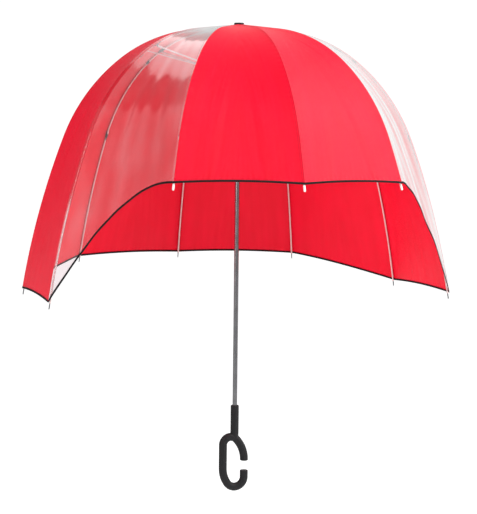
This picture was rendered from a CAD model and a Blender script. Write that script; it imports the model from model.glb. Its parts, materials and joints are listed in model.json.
import json
from math import cos, pi, radians, sin

import bmesh
import bpy
import numpy as np
from mathutils import Matrix, Vector

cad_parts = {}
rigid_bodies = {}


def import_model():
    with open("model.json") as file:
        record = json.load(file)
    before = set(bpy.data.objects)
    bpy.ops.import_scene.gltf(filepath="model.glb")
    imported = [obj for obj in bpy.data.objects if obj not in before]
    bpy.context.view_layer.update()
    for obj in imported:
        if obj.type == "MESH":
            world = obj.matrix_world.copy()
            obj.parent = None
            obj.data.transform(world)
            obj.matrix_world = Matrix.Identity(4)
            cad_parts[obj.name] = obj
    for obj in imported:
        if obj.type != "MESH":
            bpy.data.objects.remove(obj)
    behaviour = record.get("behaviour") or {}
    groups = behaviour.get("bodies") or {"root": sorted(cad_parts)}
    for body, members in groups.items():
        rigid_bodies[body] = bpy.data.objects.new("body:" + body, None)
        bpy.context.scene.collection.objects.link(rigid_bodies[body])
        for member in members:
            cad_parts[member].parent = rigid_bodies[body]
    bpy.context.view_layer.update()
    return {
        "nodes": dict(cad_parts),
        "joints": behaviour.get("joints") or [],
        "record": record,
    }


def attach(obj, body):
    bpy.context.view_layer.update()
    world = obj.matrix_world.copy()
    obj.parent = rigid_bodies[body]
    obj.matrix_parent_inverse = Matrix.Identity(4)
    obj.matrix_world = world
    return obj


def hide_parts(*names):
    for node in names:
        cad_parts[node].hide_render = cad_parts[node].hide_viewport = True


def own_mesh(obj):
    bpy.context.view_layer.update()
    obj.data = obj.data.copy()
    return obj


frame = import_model()

# ---------------------------------------------------------------------------
# The umbrella's geometry, as in the CAD source: metres, and degrees for slopes.
# Directions around the shaft are measured from the front (-Y), turning towards +X.
# ---------------------------------------------------------------------------
RIB_COUNT = 10
STEP = 2 * pi / RIB_COUNT
HALF_STEP = STEP / 2
JOINT_TO = {joint["child"]: joint for joint in frame["joints"]}
FIRST_PIVOT = Vector(JOINT_TO["rib_01_upper"]["pos_m"])
PIVOT_R = -FIRST_PIVOT.y
CROWN_Z = FIRST_PIVOT.z
KNEE_1 = 0.257
KNEE_2 = 0.457
SIDE_RIB = 0.809
REAR_RIB = 0.760
FRONT_RIB = 0.562
KNOT_S = np.array([0, 0.094, KNEE_1, KNEE_2, SIDE_RIB])
KNOT_SLOPE = np.radians([7, 7, 39.4, 69.2, 81])
CLOTH_GAP = 0.0036
CLOTH_T = 0.0006
CLOTH_SAG = 0.007
HEM_ARCH = 0.004
TIP_BARE = 0.013
END_PIN = 0.012
STUB = 0.014
BINDING_H = 0.0034
BINDING_T = 0.0012
TAPE_H = 0.0043
FIRST_S = -0.0024
FRONT_RIBS = (1, 2, 10)
REAR_RIBS = (5, 6, 7)
CLEAR_PANELS = (2, 9)

# How finely the canopy is divided, and where its bands end above the second knee.
BAND_ENDS = (FIRST_S, 0.040, 0.094, 0.170, KNEE_1, 0.357, KNEE_2)
LOWER_BANDS = 2
ROW_STEP = 0.006
FILM_ROW_STEP = 0.004
RED_COLUMNS = 12
FILM_COLUMNS = 24


def wrapped(rib):
    """The number of a rib, counted round the ring."""
    return (rib - 1) % RIB_COUNT + 1


def rib_dir(rib):
    return (rib - 1) * STEP


def rib_group(rib):
    if rib in FRONT_RIBS:
        return "front"
    return "rear" if rib in REAR_RIBS else "side"


def rib_length(rib):
    return {"front": FRONT_RIB, "rear": REAR_RIB, "side": SIDE_RIB}[rib_group(rib)]


def rib_slope(s):
    """The rib's slope below horizontal at distances s along it, in radians."""
    return np.interp(s, KNOT_S, KNOT_SLOPE)


def along(start, s, s0, a, a0):
    """The end of an arc that starts at start with slope a0 and has turned to slope a."""
    chord = (s - s0) * np.sinc((a - a0) / 2 / pi)
    middle = (a + a0) / 2
    return start[0] + chord * np.cos(middle), start[1] - chord * np.sin(middle)


knots = [(PIVOT_R, CROWN_Z)]
for k in range(len(KNOT_S) - 1):
    knots.append(along(knots[k], KNOT_S[k + 1], KNOT_S[k], KNOT_SLOPE[k + 1], KNOT_SLOPE[k]))
KNOT_R, KNOT_Z = (np.array(axis) for axis in zip(*knots))


def rib_point(s):
    """Radius and height of the rib's centreline at distances s along it."""
    s = np.asarray(s, float)
    k = np.clip(np.searchsorted(KNOT_S, s, side="right") - 1, 0, len(KNOT_S) - 2)
    return along((KNOT_R[k], KNOT_Z[k]), s, KNOT_S[k], rib_slope(s), KNOT_SLOPE[k])


def hem_s(panel, v):
    """Distance along the rib at which the hem crosses a panel, at v = 0 to 1 across it."""
    a = rib_length(panel) - TIP_BARE
    b = rib_length(wrapped(panel + 1)) - TIP_BARE
    if panel not in CLEAR_PANELS:
        return a + (b - a) * v - HEM_ARCH * 4 * v * (1 - v)
    if a < b:
        return a + (b - a) * v * v
    return b + (a - b) * (1 - v) * (1 - v)


def film_waves(s, v):
    """Soft standing waves of the clear film between its ribs, as an offset outwards."""
    held = 4 * v * (1 - v) * np.clip((s - 0.10) / 0.35, 0, 1)
    long_wave = np.sin(2 * pi * (2.2 * v + 1.5 * s)) * 0.0011
    short_wave = np.sin(2 * pi * (5.3 * v - 2.1 * s + 0.3)) * 0.0005
    return held * (long_wave + short_wave)


def cloth(panel, s, v, off, end_s):
    """A point of the canopy, off outside the rib's centreline, as an array of x, y, z."""
    turn = (v - 0.5) * STEP
    a = rib_slope(s)
    r, z = rib_point(s)
    sag = CLOTH_SAG * 4 * v * (1 - v) * np.sin(pi * np.clip(s / end_s, 0, 1))
    if panel in CLEAR_PANELS:
        sag = sag + film_waves(s, v)
    o = off - sag
    r = (r + o * np.sin(a)) * cos(HALF_STEP) / np.cos(turn)
    d = rib_dir(panel) + HALF_STEP + turn
    return np.stack([r * np.sin(d), -r * np.cos(d), z + o * np.cos(a)], axis=-1)


def unit(vectors):
    return vectors / np.linalg.norm(vectors, axis=-1, keepdims=True)


def cloth_normals(panel, s, v, off, end_s):
    """Outward unit normals of the canopy, from the surface itself, so that pieces meet smoothly."""
    tiny = 1e-4
    down = cloth(panel, s + tiny, v, off, end_s) - cloth(panel, s - tiny, v, off, end_s)
    across = cloth(panel, s, v + tiny, off, end_s) - cloth(panel, s, v - tiny, off, end_s)
    return unit(np.cross(down, across))


# ---------------------------------------------------------------------------
# Meshes
# ---------------------------------------------------------------------------
def add_object(name, mesh, finish):
    piece = bpy.data.objects.new(name, mesh)
    bpy.context.scene.collection.objects.link(piece)
    mesh.materials.append(finish)
    mesh.polygons.foreach_set("use_smooth", [True] * len(mesh.polygons))
    return piece


def grid_mesh(name, points, normals, uv, hem=None, closed=False):
    """A mesh of rows x columns of points, with its own normals and a flat UV map in metres."""
    rows, columns = points.shape[:2]
    wide = columns if closed else columns - 1
    flip = np.dot(
        np.cross(points[1, 0] - points[0, 0], points[0, 1] - points[0, 0]), normals[0, 0]
    ) < 0
    faces = []
    for r in range(rows - 1):
        for c in range(wide):
            d = (c + 1) % columns
            face = [r * columns + c, (r + 1) * columns + c, (r + 1) * columns + d, r * columns + d]
            faces.append(face[::-1] if flip else face)
    mesh = bpy.data.meshes.new(name)
    mesh.from_pydata(points.reshape(-1, 3).tolist(), [], faces)
    corner = np.zeros(len(mesh.loops), np.int32)
    mesh.loops.foreach_get("vertex_index", corner)
    layer = mesh.uv_layers.new(name="cloth")
    layer.data.foreach_set("uv", uv.reshape(-1, 2)[corner].astype(np.float32).ravel())
    if hem is not None:
        attribute = mesh.attributes.new("hem", "FLOAT", "POINT")
        attribute.data.foreach_set("value", hem.ravel().astype(np.float32))
    mesh.polygons.foreach_set("use_smooth", [True] * len(mesh.polygons))
    mesh.normals_split_custom_set_from_vertices(normals.reshape(-1, 3).tolist())
    return mesh


# ---------------------------------------------------------------------------
# Folding: each half panel rides on its rib, and narrows towards it as the umbrella closes.
# ---------------------------------------------------------------------------
def closed_place(body):
    """How a rib's body has moved when the umbrella is closed."""
    joint = JOINT_TO[body]
    angle = radians(max(joint["range_deg"], key=abs))
    pivot = Matrix.Translation(joint["pos_m"])
    turn = pivot @ Matrix.Rotation(angle, 4, Vector(joint["axis"])) @ pivot.inverted()
    return turn if joint["parent"] == "frame" else closed_place(joint["parent"]) @ turn


def rib_body(rib, s):
    """The CAD body that holds the rib at distance s along it."""
    if s < KNEE_1:
        return f"rib_{rib:02d}_upper"
    if rib in FRONT_RIBS or s > KNEE_2:
        return f"rib_{rib:02d}_lower"
    return f"rib_{rib:02d}_middle"


def narrowing(panel, rib, s, end_s):
    """Axis, anchor and share with which a band of cloth narrows towards its rib as that closes,
    so that its free edge ends in the upright plane half way to the next rib."""
    edge_v = 0.0 if rib == panel else 1.0
    at = np.array(s)
    off = CLOTH_GAP + CLOTH_T / 2
    anchor = Vector(cloth(panel, at, np.array(edge_v), off, end_s))
    free = Vector(cloth(panel, at, np.array(0.5), off, end_s)) - anchor
    a = float(rib_slope(s))
    d = rib_dir(rib)
    tangent = Vector((cos(a) * sin(d), -cos(a) * cos(d), -sin(a)))
    axis = (free - tangent * free.dot(tangent)).normalized()
    reach = free.dot(axis)
    place = closed_place(rib_body(rib, s))
    half_way = rib_dir(panel) + HALF_STEP
    plane = Vector((cos(half_way), sin(half_way), 0))
    flat = (place @ (anchor + free - axis * reach)).dot(plane)
    full = (place.to_3x3() @ axis * reach).dot(plane)
    return axis, anchor, min(1.0, max(0.02, -flat / full))


def half_panel_rows(panel, rib, columns):
    """The edges of a half panel's bands, as (distance of its top edge, of its foot, middle)."""
    edge_v = 0.0 if rib == panel else 1.0
    v = np.linspace(edge_v, 0.5, columns + 1)
    end = hem_s(panel, v) - BINDING_H
    bands = [(np.full_like(v, a), np.full_like(v, b)) for a, b in zip(BAND_ENDS, BAND_ENDS[1:])]
    lower = 1 if rib in FRONT_RIBS else LOWER_BANDS
    for k in range(lower):
        top = KNEE_2 + (end - KNEE_2) * k / lower
        foot = KNEE_2 + (end - KNEE_2) * (k + 1) / lower
        bands.append((top, foot))
    return v, end, bands


def ride_and_narrow(piece, panel, rib, s, end_s):
    body = rib_body(rib, s)
    axis, anchor, keep = narrowing(panel, rib, s, end_s)
    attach(piece, body)
    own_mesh(piece)


def chord(r, v):
    """Distance across the cloth from its rib, along the chord between two ribs."""
    return r * cos(HALF_STEP) * (np.tan(HALF_STEP) - np.abs(np.tan((v - 0.5) * STEP)))


def make_half_panel(panel, rib, finish, tape):
    """One panel from one of its ribs to the middle, as bands that ride on that rib."""
    clear = panel in CLEAR_PANELS
    node = f"{'clear' if clear else 'red'}_panel_{panel:02d}"
    side = "a" if rib == panel else "b"
    columns = FILM_COLUMNS if clear else RED_COLUMNS
    step = FILM_ROW_STEP if clear else ROW_STEP
    off = CLOTH_GAP + CLOTH_T / 2
    v, end, bands = half_panel_rows(panel, rib, columns)
    binding = make_binding(panel, rib, tape)
    for k, (top, foot) in enumerate(bands):
        rows = max(2, round(float((foot - top).max()) / step)) + 1
        share = np.linspace(0, 1, rows)[:, None]
        s = top + (foot - top) * share
        vv = np.broadcast_to(v, s.shape)
        ends = np.broadcast_to(end, s.shape)
        points = cloth(panel, s, vv, off, ends)
        normals = cloth_normals(panel, s, vv, off, ends)
        uv = np.stack([chord(rib_point(s)[0], vv), s], axis=-1)
        name = f"{node}_{side}{k + 1}"
        piece = add_object(name, grid_mesh(name, points, normals, uv, ends - s), finish)
        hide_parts(node)
        middle = float((top[0] + foot[0]) / 2)
        ride_and_narrow(piece, panel, rib, middle, float(end[0]))
        if k == len(bands) - 1:
            ride_and_narrow(binding, panel, rib, middle, float(end[0]))


def binding_section():
    """The outline of the folded tape: distance above the hem, and offset from the cloth."""
    half = BINDING_T / 2
    turns = np.linspace(0, pi, 7)
    fold = [(-half + half * sin(t), -half * cos(t)) for t in turns]
    outer = [(-TAPE_H * share, half * (1 - 0.15 * share)) for share in (0.35, 0.65, 0.9, 1.0)]
    inner = [(q, -o) for q, o in reversed(outer)]
    return np.array(fold + outer + inner)


def make_binding(panel, rib, finish):
    """The folded tape along the hem of half a panel."""
    edge_v = 0.0 if rib == panel else 1.0
    v = np.linspace(edge_v, 0.5, 25)
    end = hem_s(panel, v)
    section = binding_section()
    tiny = 1e-3
    run = rib_point(end)[0] * cos(HALF_STEP) * STEP / np.cos((v - 0.5) * STEP) ** 2
    drop = (hem_s(panel, v + tiny) - hem_s(panel, v - tiny)) / (2 * tiny)
    length = np.hypot(run, drop)
    above = -section[None, :, 0]
    s = end[:, None] - above * (run / length)[:, None]
    vv = np.clip(v[:, None] + above * (drop / length / run)[:, None], 0, 1)
    ends = np.broadcast_to(end[:, None], s.shape)
    off = CLOTH_GAP + CLOTH_T / 2 + section[None, :, 1]
    points = cloth(panel, s, vv, np.broadcast_to(off, s.shape), ends)
    normals = unit(points - points.mean(axis=1, keepdims=True))
    steps = np.linalg.norm(np.diff(points[:, 0], axis=0), axis=-1)
    around = np.linspace(0, 2 * TAPE_H, section.shape[0])
    uv = np.stack(np.meshgrid(around, np.concatenate([[0], np.cumsum(steps)])), axis=-1)
    side = "a" if rib == panel else "b"
    name = f"hem_binding_{panel:02d}{side}"
    piece = add_object(name, grid_mesh(name, points, normals, uv, closed=True), finish)
    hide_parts("hem_binding")
    return piece


# ---------------------------------------------------------------------------
# Materials
# ---------------------------------------------------------------------------
class Finish:
    """A material's node tree, with short calls to add nodes and join them."""

    def __init__(self, name):
        self.material = bpy.data.materials.new(name)
        self.material.use_nodes = True
        self.tree = self.material.node_tree
        self.tree.nodes.clear()
        self.output = self.tree.nodes.new("ShaderNodeOutputMaterial")

    def node(self, kind, sockets=None, **settings):
        made = self.tree.nodes.new(kind)
        for key, value in settings.items():
            setattr(made, key, value)
        for key, value in (sockets or {}).items():
            if isinstance(value, bpy.types.NodeSocket):
                self.tree.links.new(value, made.inputs[key])
            else:
                made.inputs[key].default_value = value
        return made

    def math(self, operation, a, b=0.0, clamp=False):
        return self.node("ShaderNodeMath", {0: a, 1: b}, operation=operation, use_clamp=clamp).outputs[0]

    def mix(self, share, a, b):
        """A colour between a and b."""
        made = self.node("ShaderNodeMix", {"Factor": share}, data_type="RGBA")
        for socket, value in ((made.inputs[6], a), (made.inputs[7], b)):
            if isinstance(value, bpy.types.NodeSocket):
                self.tree.links.new(value, socket)
            else:
                socket.default_value = value
        return made.outputs[2]

    def fade(self, value, low, high, start=0.0, stop=1.0):
        """start below low, stop above high, and a smooth step between them."""
        made = self.node(
            "ShaderNodeMapRange",
            {"Value": value, "From Min": low, "From Max": high, "To Min": start, "To Max": stop},
            interpolation_type="SMOOTHSTEP",
        )
        return made.outputs[0]

    def noise(self, vector, scale, detail=3.0, stretch=(1, 1, 1)):
        mapped = self.node("ShaderNodeMapping", {"Vector": vector, "Scale": stretch}).outputs[0]
        made = self.node("ShaderNodeTexNoise", {"Vector": mapped, "Scale": scale, "Detail": detail})
        return made.outputs["Fac"]

    def bump(self, height, distance, strength=1.0, normal=None):
        sockets = {"Height": height, "Distance": distance, "Strength": strength}
        if normal is not None:
            sockets["Normal"] = normal
        return self.node("ShaderNodeBump", sockets).outputs[0]

    def surface(self, shader):
        self.tree.links.new(shader, self.output.inputs["Surface"])
        return self.material


def flat_place(finish):
    """The cloth's own flat place: distance from the rib, and distance along it."""
    uv = finish.node("ShaderNodeUVMap", uv_map="cloth").outputs[0]
    split = finish.node("ShaderNodeSeparateXYZ", {0: uv})
    return uv, split.outputs[0], split.outputs[1]


def woven(finish, u, s, pitch):
    """The height of a plain weave: threads that pass over and under each other."""
    turn = 2 * pi / pitch
    warp = finish.math("SINE", finish.math("MULTIPLY", u, turn))
    weft = finish.math("SINE", finish.math("MULTIPLY", s, turn))
    return finish.math("MULTIPLY", warp, weft)


def red_cloth(name, deep, light, glow):
    """Red woven polyester with its sewn seams and fine tension lines."""
    f = Finish(name)
    uv, u, s = flat_place(f)
    hem = f.node("ShaderNodeAttribute", attribute_name="hem").outputs["Fac"]
    weave = woven(f, u, s, 0.0007)
    streaks = f.noise(uv, 60.0, 4.0, (1.0, 0.08, 1.0))
    clouds = f.noise(uv, 7.0, 2.0)
    tone = f.math("ADD", f.math("MULTIPLY", streaks, 0.45), f.math("MULTIPLY", clouds, 0.55))
    colour = f.mix(f.fade(tone, 0.3, 0.7), deep, light)
    seam = f.fade(u, 0.0004, 0.0022, 1.0, 0.0)
    stitch_row = f.math("COMPARE", u, 0.0042)
    f.tree.nodes[-1].inputs[2].default_value = 0.0004
    stitch_gap = f.math("GREATER_THAN", f.math("FRACT", f.math("MULTIPLY", s, 350.0)), 0.35)
    stitch = f.math("MULTIPLY", stitch_row, stitch_gap)
    hem_row = f.math("COMPARE", hem, 0.003)
    f.tree.nodes[-1].inputs[2].default_value = 0.0004
    colour = f.mix(f.math("MULTIPLY", seam, 0.35), colour, (0.25, 0.0, 0.012, 1))
    colour = f.mix(f.math("MULTIPLY", stitch, 0.5), colour, (0.32, 0.002, 0.02, 1))
    colour = f.mix(f.math("MULTIPLY", hem_row, 0.25), colour, (0.32, 0.002, 0.02, 1))
    pucker_wave = f.math("SINE", f.math("MULTIPLY", s, 2 * pi / 0.013))
    near_seam = f.fade(u, 0.0, 0.016, 1.0, 0.0)
    near_hem = f.fade(hem, 0.0, 0.02, 1.0, 0.0)
    pucker = f.math("MULTIPLY", pucker_wave, near_seam)
    hem_wave = f.math("MULTIPLY", f.math("SINE", f.math("MULTIPLY", u, 2 * pi / 0.011)), near_hem)
    tension = f.noise(uv, 34.0, 2.0, (1.0, 0.10, 1.0))
    normal = f.bump(weave, 0.00006)
    normal = f.bump(f.math("ADD", pucker, hem_wave), 0.00022, 0.8, normal)
    normal = f.bump(tension, 0.005, 0.5, normal)
    normal = f.bump(f.math("MAXIMUM", seam, stitch), 0.0005, 0.6, normal)
    rough = f.math("ADD", f.math("MULTIPLY", weave, 0.03), 0.38)
    cloth_shader = f.node(
        "ShaderNodeBsdfPrincipled",
        {
            "Base Color": colour,
            "Roughness": rough,
            "Specular IOR Level": 0.17,
            "Normal": normal,
        },
    )
    through = f.node("ShaderNodeBsdfTranslucent", {"Color": colour, "Normal": normal})
    mixed = f.node("ShaderNodeMixShader", {0: glow, 1: cloth_shader.outputs[0], 2: through.outputs[0]})
    return f.surface(mixed.outputs[0])


def clear_film(name, seam_width):
    """Clear PVC film: it mirrors more the flatter it is looked along, and has a thin milky haze.
    The red cloth's seam allowance, if it has a width, covers the film's edge down to the bend."""
    f = Finish(name)
    uv, u, s = flat_place(f)
    waves = f.noise(uv, 10.0, 2.0, (1.0, 0.30, 1.0))
    crinkle = f.noise(uv, 60.0, 3.0, (1.0, 0.22, 1.0))
    scuffs = f.noise(uv, 9.0, 4.0, (1.0, 0.5, 1.0))
    welded = f.fade(u, 0.004, 0.005, 1.0, 0.0)
    normal = f.bump(waves, 0.006, 0.35)
    normal = f.bump(crinkle, 0.0014, 0.30, normal)
    normal = f.bump(welded, 0.0003, 0.5, normal)
    facing = f.node("ShaderNodeLayerWeight", {"Blend": 0.5}).outputs["Facing"]
    mirror = f.math("ADD", f.math("MULTIPLY", f.math("POWER", facing, 2.4), 1.3), 0.03, clamp=True)
    haze = f.math("ADD", f.fade(scuffs, 0.40, 0.65, 0.02, 0.11), f.math("MULTIPLY", welded, 0.08))
    clear = f.node("ShaderNodeBsdfTransparent", {"Color": (0.94, 0.84, 0.86, 1)})
    milky = f.node("ShaderNodeBsdfPrincipled", {
        "Base Color": (0.84, 0.80, 0.82, 1),
        "Roughness": 0.35,
        "Specular IOR Level": 0.0,
        "Normal": normal,
    })
    gloss = f.node("ShaderNodeBsdfGlossy", {"Color": (1, 1, 1, 1), "Roughness": 0.13, "Normal": normal})
    body = f.node("ShaderNodeMixShader", {0: haze, 1: clear.outputs[0], 2: milky.outputs[0]})
    if seam_width:
        cloth_edge = f.node("ShaderNodeBsdfPrincipled", {
            "Base Color": (0.60, 0.001, 0.015, 1),
            "Roughness": 0.6,
            "Specular IOR Level": 0.1,
        })
        covered = f.math(
            "MULTIPLY",
            f.fade(u, seam_width, seam_width + 0.001, 1.0, 0.0),
            f.fade(s, 0.56, 0.62, 1.0, 0.0),
        )
        body = f.node("ShaderNodeMixShader", {0: covered, 1: body.outputs[0], 2: cloth_edge.outputs[0]})
    mixed = f.node("ShaderNodeMixShader", {0: mirror, 1: body.outputs[0], 2: gloss.outputs[0]})
    return f.surface(mixed.outputs[0])


def hem_tape():
    """Black ribbed tape, with the row of stitches that holds it."""
    f = Finish("hem_tape")
    uv, _, s = flat_place(f)
    ribs = f.math("SINE", f.math("MULTIPLY", s, 2 * pi / 0.0008))
    fuzz = f.noise(uv, 900.0, 2.0)
    stitch = f.math("GREATER_THAN", f.math("FRACT", f.math("MULTIPLY", s, 330.0)), 0.4)
    colour = f.mix(f.math("MULTIPLY", fuzz, stitch), (0.004, 0.003, 0.004, 1), (0.016, 0.012, 0.014, 1))
    normal = f.bump(ribs, 0.00008)
    normal = f.bump(stitch, 0.00015, 0.6, normal)
    tape = f.node(
        "ShaderNodeBsdfPrincipled",
        {"Base Color": colour, "Roughness": 0.8, "Specular IOR Level": 0.25, "Normal": normal},
    )
    return f.surface(tape.outputs[0])


def object_place(finish):
    return finish.node("ShaderNodeTexCoord").outputs["Object"]


def shaft_distance(finish, place):
    """Distance from the shaft's axis."""
    split = finish.node("ShaderNodeSeparateXYZ", {0: place})
    flat = finish.node("ShaderNodeCombineXYZ", {0: split.outputs[0], 1: split.outputs[1], 2: 0.0})
    return finish.node("ShaderNodeVectorMath", {0: flat.outputs[0]}, operation="LENGTH").outputs["Value"]


def fibreglass(name, pin_z=-1.0, stub_z=-1.0):
    """Milky pultruded rod with fine fibres along it, and dark steel ferrules at the knees.
    It ends in a white stub below the height stub_z, or in a steel pin below pin_z."""
    f = Finish(name)
    place = object_place(f)
    away = shaft_distance(f, place)
    ferrules = [(0.193, 0.215), (0.2445, 0.2545), (0.4445, 0.4618)]
    dark = None
    for start, stop in ferrules:
        r0, r1 = (float(rib_point(x)[0]) for x in (start, stop))
        inside = f.math("COMPARE", away, (r0 + r1) / 2)
        f.tree.nodes[-1].inputs[2].default_value = (r1 - r0) / 2
        dark = inside if dark is None else f.math("MAXIMUM", dark, inside)
    height = f.node("ShaderNodeSeparateXYZ", {0: place}).outputs[2]
    dark = f.math("MAXIMUM", dark, f.math("LESS_THAN", height, pin_z))
    fibres = f.noise(place, 500.0, 2.0, (1.0, 1.0, 0.12))
    stain = f.noise(place, 30.0, 3.0)
    rod = f.mix(f.math("MULTIPLY", fibres, stain), (0.74, 0.58, 0.57, 1), (0.60, 0.44, 0.43, 1))
    stub = f.math("LESS_THAN", height, stub_z)
    white = f.mix(stub, rod, (0.84, 0.82, 0.80, 1))
    colour = f.mix(dark, white, (0.10, 0.10, 0.11, 1))
    rough = f.math("SUBTRACT", 0.42, f.math("MULTIPLY", dark, 0.12))
    normal = f.bump(fibres, 0.00006, 0.7)
    glass = f.node(
        "ShaderNodeBsdfPrincipled",
        {
            "Base Color": colour,
            "Roughness": rough,
            "Specular IOR Level": 0.3,
            "Metallic": f.math("MULTIPLY", dark, 0.85),
            "Normal": normal,
        },
    )
    return f.surface(glass.outputs[0])


def metal(name, colour, roughness, grain, stretch, bare=1.0):
    """Drawn or rolled steel, bare or with a pale coat: fine lines along it, and faint handling marks."""
    f = Finish(name)
    place = object_place(f)
    lines = f.noise(place, grain, 3.0, stretch)
    marks = f.noise(place, 25.0, 4.0)
    darker = tuple(0.72 * c for c in colour[:3]) + (1,)
    shade = f.mix(f.fade(marks, 0.35, 0.75), colour, darker)
    rough = f.math("ADD", f.math("MULTIPLY", marks, 0.12), roughness - 0.06)
    steel = f.node(
        "ShaderNodeBsdfPrincipled",
        {
            "Base Color": shade,
            "Metallic": bare,
            "Roughness": rough,
            "Normal": f.bump(lines, 0.00004, 0.6),
        },
    )
    return f.surface(steel.outputs[0])


def plastic(name, colour, roughness, speckle, depth, shine):
    """Moulded black plastic with a fine spark-eroded grain and slightly rubbed places."""
    f = Finish(name)
    place = object_place(f)
    grain = f.noise(place, speckle, 2.0)
    rubbed = f.noise(place, 22.0, 3.0)
    lighter = tuple(1.8 * c + 0.004 for c in colour[:3]) + (1,)
    shade = f.mix(f.fade(grain, 0.45, 0.75, 0.0, 0.8), colour, lighter)
    rough = f.math("ADD", f.math("MULTIPLY", rubbed, 0.16), roughness - 0.08)
    moulded = f.node(
        "ShaderNodeBsdfPrincipled",
        {
            "Base Color": shade,
            "Roughness": rough,
            "Specular IOR Level": shine,
            "Normal": f.bump(grain, depth, 0.6),
        },
    )
    return f.surface(moulded.outputs[0])


FINISHES = {
    "red_fabric": red_cloth("red_cloth", (0.80, 0.001, 0.022, 1), (0.88, 0.002, 0.030, 1), 0.12),
    "clear_film": clear_film("clear_film", 0.0),
    "clear_film_side": clear_film("clear_film_side", 0.0075),
    "hem_tape": hem_tape(),
    "fibreglass": fibreglass("fibreglass"),
    "fibreglass_front": fibreglass("fibreglass_front", stub_z=float(rib_point(FRONT_RIB - STUB)[1])),
    "fibreglass_side": fibreglass("fibreglass_side", pin_z=float(rib_point(SIDE_RIB - END_PIN)[1])),
    "fibreglass_rear": fibreglass("fibreglass_rear", pin_z=float(rib_point(REAR_RIB - END_PIN)[1])),
    "stretcher_metal": metal("stretcher_metal", (0.74, 0.70, 0.70, 1), 0.36, 400.0, (1, 1, 0.2), 0.25),
    "shaft_metal": metal("shaft_metal", (0.26, 0.26, 0.27, 1), 0.26, 900.0, (1, 1, 0.02)),
    "spring_steel": metal("spring_steel", (0.62, 0.62, 0.63, 1), 0.28, 700.0, (1, 1, 0.2)),
    "black_plastic": plastic("black_plastic", (0.010, 0.010, 0.011, 1), 0.42, 700.0, 0.00003, 0.22),
    "soft_black": plastic("soft_black", (0.014, 0.014, 0.015, 1), 0.55, 1100.0, 0.00008, 0.13),
}


def dress_cad_nodes():
    """Gives every CAD node that stays its finish, from the record's slots."""
    for part in frame["record"]["subparts"]:
        name = part["material_slot"]
        for rib in range(1, RIB_COUNT + 1):
            if part["node"] == f"rib_{rib:02d}_lower":
                name = f"fibreglass_{rib_group(rib)}"
        mesh = frame["nodes"][part["node"]].data
        mesh.materials.clear()
        mesh.materials.append(FINISHES[name])


# ---------------------------------------------------------------------------
# The canopy, its binding and the strap
# ---------------------------------------------------------------------------
def make_canopy():
    for panel in range(1, RIB_COUNT + 1):
        for rib in (panel, wrapped(panel + 1)):
            name = "red_fabric"
            if panel in CLEAR_PANELS:
                name = "clear_film" if rib in FRONT_RIBS else "clear_film_side"
            make_half_panel(panel, rib, FINISHES[name], FINISHES["hem_tape"])


STRAP_FROM = 0.560
STRAP_TO = 0.720
STRAP_W = 0.018
STRAP_T = 0.001
STRAP_RIB = 6


def make_strap():
    """A strip of the canopy's cloth, sewn on the rear seam, that ties the canopy when closed."""
    stations, across = 33, 7
    off = CLOTH_GAP + CLOTH_T + 0.0005
    s = np.linspace(STRAP_FROM, STRAP_TO, stations)
    r, z = rib_point(s)
    a = rib_slope(s)
    d = rib_dir(STRAP_RIB)
    outline = [(x, STRAP_T) for x in np.linspace(-1, 1, across)]
    outline += [(x, 0.0) for x in np.linspace(1, -1, across)]
    points = []
    for side, lift in outline:
        edge = STRAP_W / 2 * side
        o = off + lift * (1 - 0.35 * abs(side) ** 4)
        out = r + o * np.sin(a)
        points.append(np.stack(
            [out * sin(d) + edge * cos(d), -out * cos(d) + edge * sin(d), z + o * np.cos(a)], axis=-1
        ))
    points = np.stack(points, axis=1)
    normals = unit(points - points.mean(axis=1, keepdims=True))
    around = np.array([0.004 + STRAP_W / 2 * (1 + side) for side, lift in outline])
    uv = np.stack(np.meshgrid(around, s), axis=-1)
    hem = np.broadcast_to(np.full_like(around, 0.05), (stations, len(around)))
    mesh = grid_mesh("tie_strap_cloth", points, normals, uv, hem, closed=True)
    strap = add_object("tie_strap_cloth", mesh, FINISHES["red_fabric"])
    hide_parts("tie_strap")
    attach(strap, rib_body(STRAP_RIB, STRAP_TO))


# ---------------------------------------------------------------------------
# The C grip: one bar whose bends run into each other, tight at the top and the foot
# ---------------------------------------------------------------------------
GRIP_BAR_R = 0.00875
GRIP_END_ROUND = 0.0016
GRIP_NECK_R = 0.0087
GRIP_NECK_TOP = -0.0295
GRIP_NECK_FOOT = -0.0405
GRIP_ARM_X = 0.0223
GRIP_UPPER_END = -0.0912
GRIP_LOWER_END = -0.1127
GRIP_SIDES = 56
GRIP_STEP = 3
# Each bend in the X-Z plane: its centre, its radius, and its turn from one angle to another, in degrees.
GRIP_BENDS = [
    ((-0.0442, -0.0895), 0.0665, 0.0, 43.64),
    ((-0.0086, -0.05555), 0.0173, 43.64, 180.0),
    ((0.0311, -0.1068), 0.0570, 180.0, 214.68),
    ((0.0014, -0.12735), 0.0209, 214.68, 360.0),
]


def grip_stations():
    """Rows of x, z, the bar's direction and its radius, from the upper arm's end to the lower arm's."""
    turns = np.radians(np.linspace(0, 90, 7))
    depth = GRIP_END_ROUND * (1 - np.cos(turns))
    radius = GRIP_BAR_R - GRIP_END_ROUND * (1 - np.sin(turns))
    rows = [(GRIP_ARM_X, GRIP_UPPER_END + d, 0.0, 1.0, r) for d, r in zip(depth, radius)]
    for (x, z), bend_r, start, stop in GRIP_BENDS:
        count = int(abs(stop - start) / GRIP_STEP) + 3
        for a in np.radians(np.linspace(start, stop, count))[:-1]:
            rows.append((x + bend_r * cos(a), z + bend_r * sin(a), -sin(a), cos(a), GRIP_BAR_R))
    rows += [
        (GRIP_ARM_X, GRIP_LOWER_END - d, 0.0, 1.0, r) for d, r in zip(depth[::-1], radius[::-1])
    ]
    return rows


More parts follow.
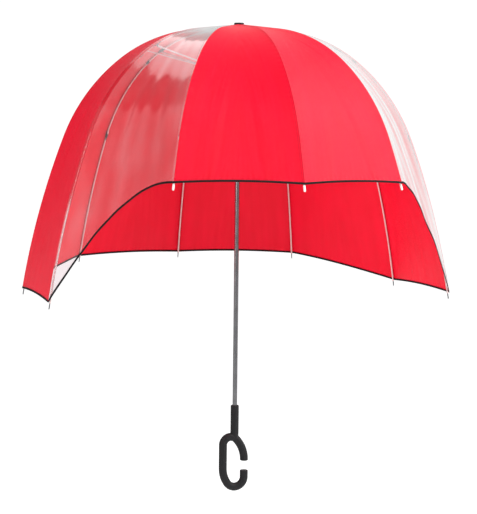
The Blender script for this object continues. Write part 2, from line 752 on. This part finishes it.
def make_grip():
    """The grip's bar and the neck under the sleeve, moulded in one."""
    points, faces = [], []

    def add_tube(rows):
        first = len(points)
        for x, z, along_x, along_z, radius in rows:
            for a in np.linspace(0, 2 * pi, GRIP_SIDES, endpoint=False):
                out = radius * cos(a)
                points.append((x - along_z * out, radius * sin(a), z + along_x * out))
        for ring in range(len(rows) - 1):
            low = first + ring * GRIP_SIDES
            high = low + GRIP_SIDES
            for c in range(GRIP_SIDES):
                d = (c + 1) % GRIP_SIDES
                faces.append((low + c, low + d, high + d, high + c))
        last = first + (len(rows) - 1) * GRIP_SIDES
        faces.append(tuple(first + c for c in range(GRIP_SIDES))[::-1])
        faces.append(tuple(last + c for c in range(GRIP_SIDES)))

    add_tube(grip_stations())
    add_tube([(0.0, z, 0.0, 1.0, GRIP_NECK_R) for z in (GRIP_NECK_FOOT, GRIP_NECK_TOP)])
    mesh = bpy.data.meshes.new("c_grip_moulding")
    mesh.from_pydata(points, [], faces)
    grip = add_object("c_grip_moulding", mesh, FINISHES["soft_black"])
    rims = {key for face in mesh.polygons if len(face.vertices) > 4 for key in face.edge_keys}
    for edge in mesh.edges:
        edge.use_edge_sharp = edge.key in rims
    shell = bmesh.new()
    shell.from_mesh(mesh)
    bmesh.ops.recalc_face_normals(shell, faces=shell.faces)
    shell.to_mesh(mesh)
    shell.free()
    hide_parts("c_grip")
    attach(grip, "frame")


# ---------------------------------------------------------------------------
# Camera, floor and light
# ---------------------------------------------------------------------------
CAMERA_AZIMUTH = radians(-18.52)
CAMERA_DISTANCE = 3.163
CAMERA_Z = 0.610
CAMERA_PITCH = 0.0814
CAMERA_YAW = 0.0014
CAMERA_ROLL = 0.0113
CAMERA_LENS = 103.7
FLOOR_Z = -0.95
ROOM_LEVEL = 0.14
BACKDROP_LEVEL = 0.94
BACKDROP_AZIMUTH = 120
BACKDROP_ELEVATION = 20
BACKDROP_EDGE = 0.42
BACKDROP_FULL = 0.9
SEEN_LEVEL = 1.05
FLOOR_SIZE = 60.0
FLOOR_GLOW = 0.32
FLOOR_SEEN_GLOW = 0.42
LIGHT_AIM = Vector((0, 0, 0.45))
# Each soft box: azimuth and elevation in degrees, distance, width and height in metres, and watts.
LIGHTS = {
    "key_right": (54, 34, 3.0, 1.1, 2.3, 140),
    "card_left": (-96, 27, 3.0, 1.6, 1.8, 4.5),
    "card_back_left": (-158, 52, 3.0, 1.7, 1.7, 8),
    "soft_left": (-62, 16, 3.0, 1.0, 1.8, 50),
    "front_high": (-18, 60, 3.4, 2.2, 2.0, 6),
}


def make_camera():
    """The camera looks at the shaft from a little to the left of the raised hem."""
    a = CAMERA_AZIMUTH
    ahead = Vector((-sin(a), cos(a), 0))
    right = Vector((cos(a), sin(a), 0))
    up = Vector((0, 0, 1))
    ahead, right = (
        ahead * cos(CAMERA_YAW) + right * sin(CAMERA_YAW),
        right * cos(CAMERA_YAW) - ahead * sin(CAMERA_YAW),
    )
    ahead, up = (
        ahead * cos(CAMERA_PITCH) - up * sin(CAMERA_PITCH),
        up * cos(CAMERA_PITCH) + ahead * sin(CAMERA_PITCH),
    )
    right, up = (
        right * cos(CAMERA_ROLL) + up * sin(CAMERA_ROLL),
        up * cos(CAMERA_ROLL) - right * sin(CAMERA_ROLL),
    )
    data = bpy.data.cameras.new("camera")
    data.lens = CAMERA_LENS
    data.clip_start, data.clip_end = 0.1, 200
    camera = bpy.data.objects.new("camera", data)
    camera.matrix_world = Matrix((right, up, -ahead)).transposed().to_4x4()
    camera.location = (CAMERA_DISTANCE * sin(a), -CAMERA_DISTANCE * cos(a), CAMERA_Z)
    bpy.context.scene.collection.objects.link(camera)
    bpy.context.scene.camera = camera


def make_floor():
    mesh = bpy.data.meshes.new("floor")
    signs = [(-1, -1), (1, -1), (1, 1), (-1, 1)]
    corners = [(FLOOR_SIZE * x, FLOOR_SIZE * y, FLOOR_Z) for x, y in signs]
    mesh.from_pydata(corners, [], [(0, 1, 2, 3)])
    f = Finish("floor")
    place = object_place(f)
    pale = f.mix(f.noise(place, 3.0), (0.93, 0.93, 0.93, 1), (0.96, 0.96, 0.96, 1))
    seen = f.node("ShaderNodeLightPath").outputs["Is Camera Ray"]
    glow = f.math("ADD", f.math("MULTIPLY", seen, FLOOR_SEEN_GLOW), FLOOR_GLOW)
    shader = f.node("ShaderNodeBsdfPrincipled", {
        "Base Color": pale,
        "Roughness": 0.9,
        "Specular IOR Level": 0.0,
        "Emission Color": (1, 1, 1, 1),
        "Emission Strength": glow,
    })
    floor = add_object("floor", mesh, f.surface(shader.outputs[0]))


def direction(azimuth, elevation):
    """The unit vector towards a place round the umbrella, from degrees."""
    a, e = radians(azimuth), radians(elevation)
    return Vector((sin(a) * cos(e), -cos(a) * cos(e), sin(e)))


def area_light(name, azimuth, elevation, distance, width, height, power):
    """A soft box that faces LIGHT_AIM, at a direction and a distance from it."""
    back = direction(azimuth, elevation)
    data = bpy.data.lights.new(name, "AREA")
    data.shape = "RECTANGLE"
    data.size, data.size_y = width, height
    data.energy = power
    light = bpy.data.objects.new(name, data)
    light.location = LIGHT_AIM + back * distance
    light.rotation_mode = "QUATERNION"
    light.rotation_quaternion = back.to_track_quat("Z", "Y")
    light.visible_camera = False
    bpy.context.scene.collection.objects.link(light)


def make_world():
    """A white studio: a bright backdrop behind the umbrella, and a dimmer room in front of it."""
    world = bpy.data.worlds.new("studio")
    bpy.context.scene.world = world
    world.use_nodes = True
    tree = world.node_tree
    tree.nodes.clear()
    place = tree.nodes.new("ShaderNodeTexCoord")
    towards = tree.nodes.new("ShaderNodeVectorMath")
    towards.operation = "DOT_PRODUCT"
    towards.inputs[1].default_value = direction(BACKDROP_AZIMUTH, BACKDROP_ELEVATION)
    level = tree.nodes.new("ShaderNodeMapRange")
    level.inputs["From Min"].default_value = BACKDROP_EDGE
    level.inputs["From Max"].default_value = BACKDROP_FULL
    level.inputs["To Min"].default_value = ROOM_LEVEL
    level.inputs["To Max"].default_value = BACKDROP_LEVEL
    path = tree.nodes.new("ShaderNodeLightPath")
    seen = tree.nodes.new("ShaderNodeBackground")
    fill = tree.nodes.new("ShaderNodeBackground")
    seen.inputs["Strength"].default_value = SEEN_LEVEL
    for background in (seen, fill):
        background.inputs["Color"].default_value = (1, 1, 1, 1)
    mixed = tree.nodes.new("ShaderNodeMixShader")
    output = tree.nodes.new("ShaderNodeOutputWorld")
    for start, end in (
        (place.outputs["Generated"], towards.inputs[0]),
        (towards.outputs["Value"], level.inputs["Value"]),
        (level.outputs[0], fill.inputs["Strength"]),
        (path.outputs["Is Camera Ray"], mixed.inputs[0]),
        (fill.outputs[0], mixed.inputs[1]),
        (seen.outputs[0], mixed.inputs[2]),
        (mixed.outputs[0], output.inputs["Surface"]),
    ):
        tree.links.new(start, end)


def make_studio():
    make_floor()
    make_world()
    for name, setting in LIGHTS.items():
        area_light(name, *setting)
    bpy.context.scene.view_settings.view_transform = "Standard"


make_camera()
dress_cad_nodes()
make_canopy()
make_strap()
make_grip()
make_studio()
